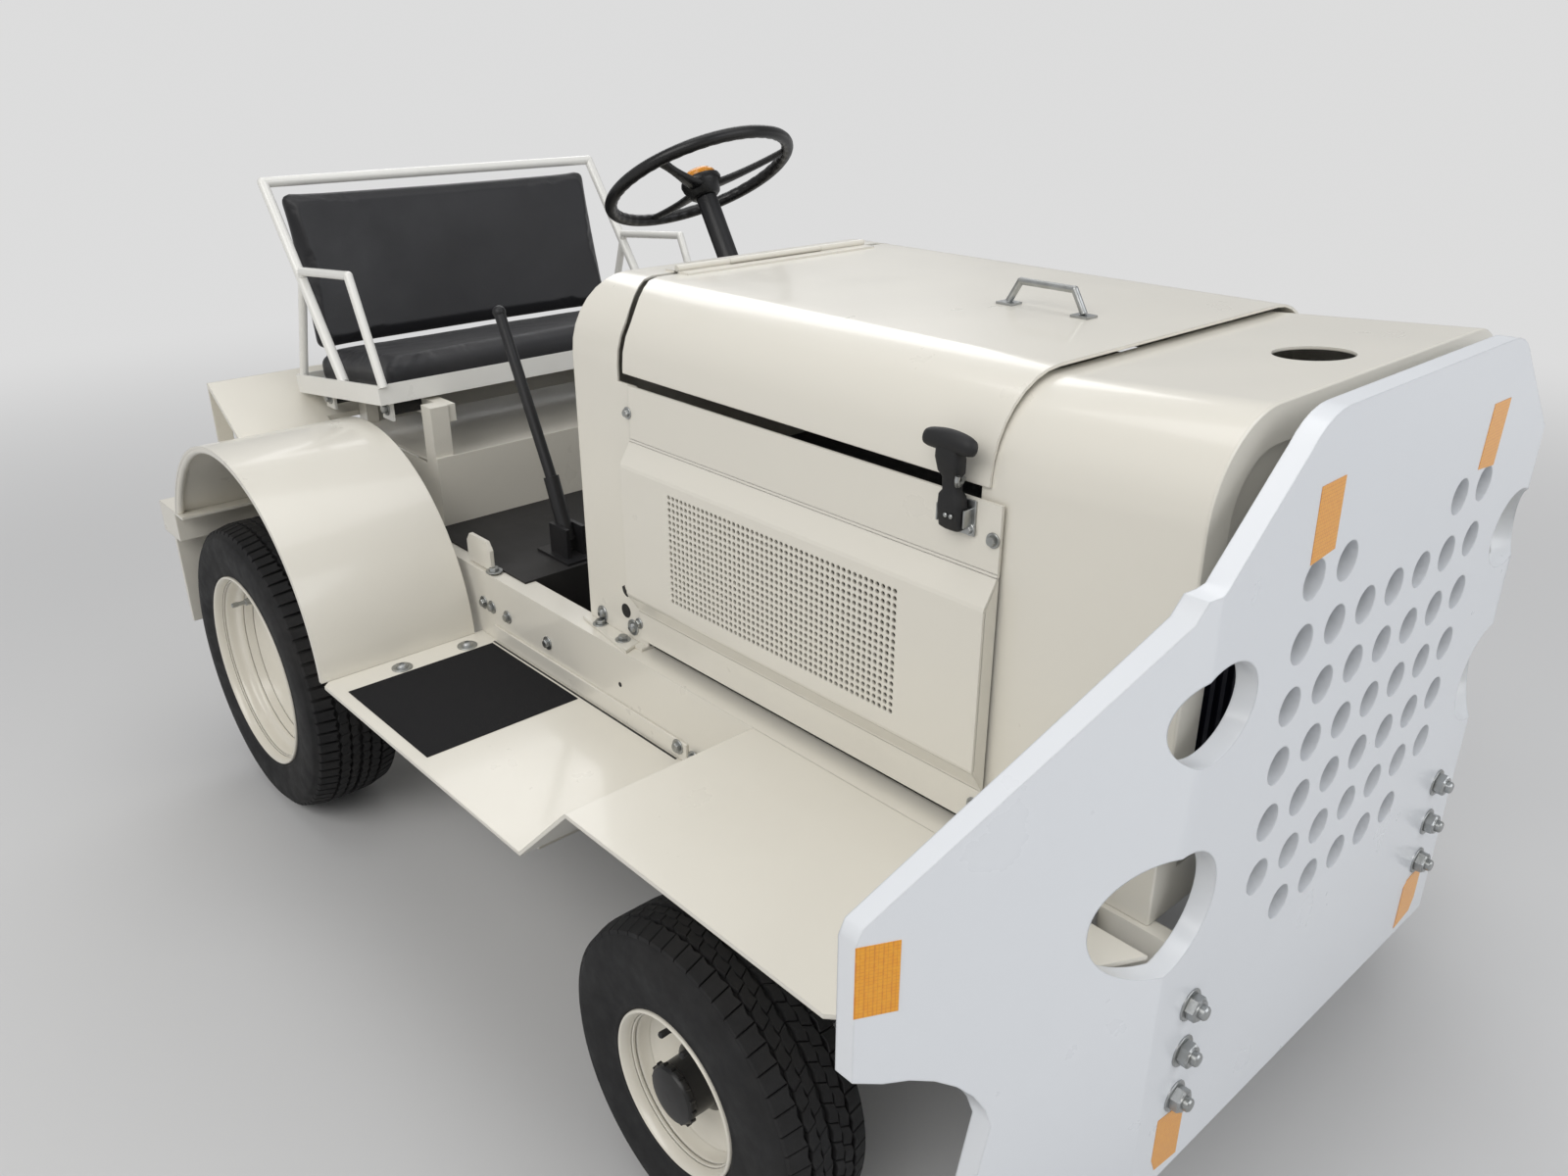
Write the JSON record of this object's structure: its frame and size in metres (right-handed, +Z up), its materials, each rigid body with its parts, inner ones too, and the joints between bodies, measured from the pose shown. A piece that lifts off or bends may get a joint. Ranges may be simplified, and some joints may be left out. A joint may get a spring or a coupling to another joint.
{
  "type": "airport baggage tug",
  "caption": "Open airport baggage tug with a bench seat, side steps, a hinged hood lid and a thick drilled front plate swept back at both sides.",
  "frame": {"origin": "on the floor below the middle of the vehicle, halfway along its length", "axes": "+X forwards towards the front plate, +Y to the left of the driver, +Z up"},
  "size_m": [2.41, 1.472, 1.3922],
  "materials": {
    "cream_paint": "gloss",
    "white_paint": "gloss",
    "rim_paint": "gloss",
    "tyre": "matt",
    "zinc": "zinc plated",
    "amber_plastic": "gloss",
    "black_vinyl": "satin vinyl",
    "black_rubber": "matt",
    "black_plastic": "satin",
    "floor_coat": "rough anti-slip coat",
    "radiator_core": "satin",
    "cast_iron": "painted",
    "black_steel": "satin"
  },
  "bodies": {
    "chassis": {"frame": "cream_paint", "outriggers": "cream_paint", "front_plate": "white_paint", "plate_brackets": "cream_paint", "nose_cowl": "cream_paint", "rear_cowl": "cream_paint", "side_panel_right": "cream_paint", "side_panel_left": "cream_paint", "step_fender_right": "cream_paint", "step_fender_left": "cream_paint", "rear_fender_right": "cream_paint", "rear_fender_left": "cream_paint", "floor_pan": "floor_coat", "seat_box": "cream_paint", "rear_tray": "cream_paint", "rear_beam": "cream_paint", "hitch": "black_steel", "engine": "cast_iron", "radiator": "radiator_core", "driveline": "cast_iron", "rear_axle": "black_steel", "front_axle": "black_steel", "leaf_springs": "black_steel", "steering_column": "black_steel", "pedals": "black_steel", "brake_lever": "black_steel", "latch_right": "black_rubber", "latch_left": "black_rubber", "seat_frame": "cream_paint", "seat_mounts": "black_rubber", "seat_cushion": "black_vinyl", "seat_back": "black_vinyl"},
    "hood": {"hood_lid": "cream_paint", "grab_handle": "zinc"},
    "steering": {"steering_wheel": "black_plastic", "horn_cap": "amber_plastic"},
    "knuckle_left": {"knuckle_left": "black_steel"},
    "knuckle_right": {"knuckle_right": "black_steel"},
    "tie_rod": {"tie_rod": "black_steel"},
    "front_wheel_left": {"front_tyre_left": "tyre", "front_rim_left": "rim_paint"},
    "front_wheel_right": {"front_tyre_right": "tyre", "front_rim_right": "rim_paint"},
    "rear_wheel_left": {"rear_tyre_left": "tyre", "rear_rim_left": "rim_paint"},
    "rear_wheel_right": {"rear_tyre_right": "tyre", "rear_rim_right": "rim_paint"}
  },
  "joints": [
    {"name": "hood_lid_hinge", "type": "hinge", "parent": "chassis", "child": "hood", "pos_m": [0.108, 0, 1.203], "axis": [0, -1, 0], "range_deg": [0, 60]},
    {"name": "steer_left", "type": "hinge", "parent": "chassis", "child": "knuckle_left", "pos_m": [0.693, 0.527, 0.242], "axis": [0, 0, 1], "range_deg": [-30, 30]},
    {"name": "steer_right", "type": "hinge", "parent": "chassis", "child": "knuckle_right", "pos_m": [0.693, -0.527, 0.242], "axis": [0, 0, 1], "range_deg": [-30, 30]},
    {"name": "tie_rod_pivot", "type": "hinge", "parent": "knuckle_left", "child": "tie_rod", "pos_m": [0.565, 0.527, 0.184], "axis": [0, 0, 1], "range_deg": [-30, 30]},
    {"name": "steering_wheel_turn", "type": "hinge", "parent": "chassis", "child": "steering", "pos_m": [-0.333, 0.19, 1.283], "axis": [-0.509, 0, 0.8607], "range_deg": [-360, 360]},
    {"name": "front_wheel_left_spin", "type": "hinge", "parent": "knuckle_left", "child": "front_wheel_left", "pos_m": [0.693, 0.645, 0.242], "axis": [0, 1, 0], "continuous": true},
    {"name": "rear_wheel_left_spin", "type": "hinge", "parent": "chassis", "child": "rear_wheel_left", "pos_m": [-0.757, 0.625, 0.315], "axis": [0, 1, 0], "continuous": true},
    {"name": "front_wheel_right_spin", "type": "hinge", "parent": "knuckle_right", "child": "front_wheel_right", "pos_m": [0.693, -0.645, 0.242], "axis": [0, 1, 0], "continuous": true},
    {"name": "rear_wheel_right_spin", "type": "hinge", "parent": "chassis", "child": "rear_wheel_right", "pos_m": [-0.757, -0.625, 0.315], "axis": [0, 1, 0], "continuous": true}
  ],
  "couplings": [
    {"joint": "steer_right", "follows": "steer_left", "ratio": 1},
    {"joint": "tie_rod_pivot", "follows": "steer_left", "ratio": -1},
    {"joint": "steering_wheel_turn", "follows": "steer_left", "ratio": 12}
  ]
}
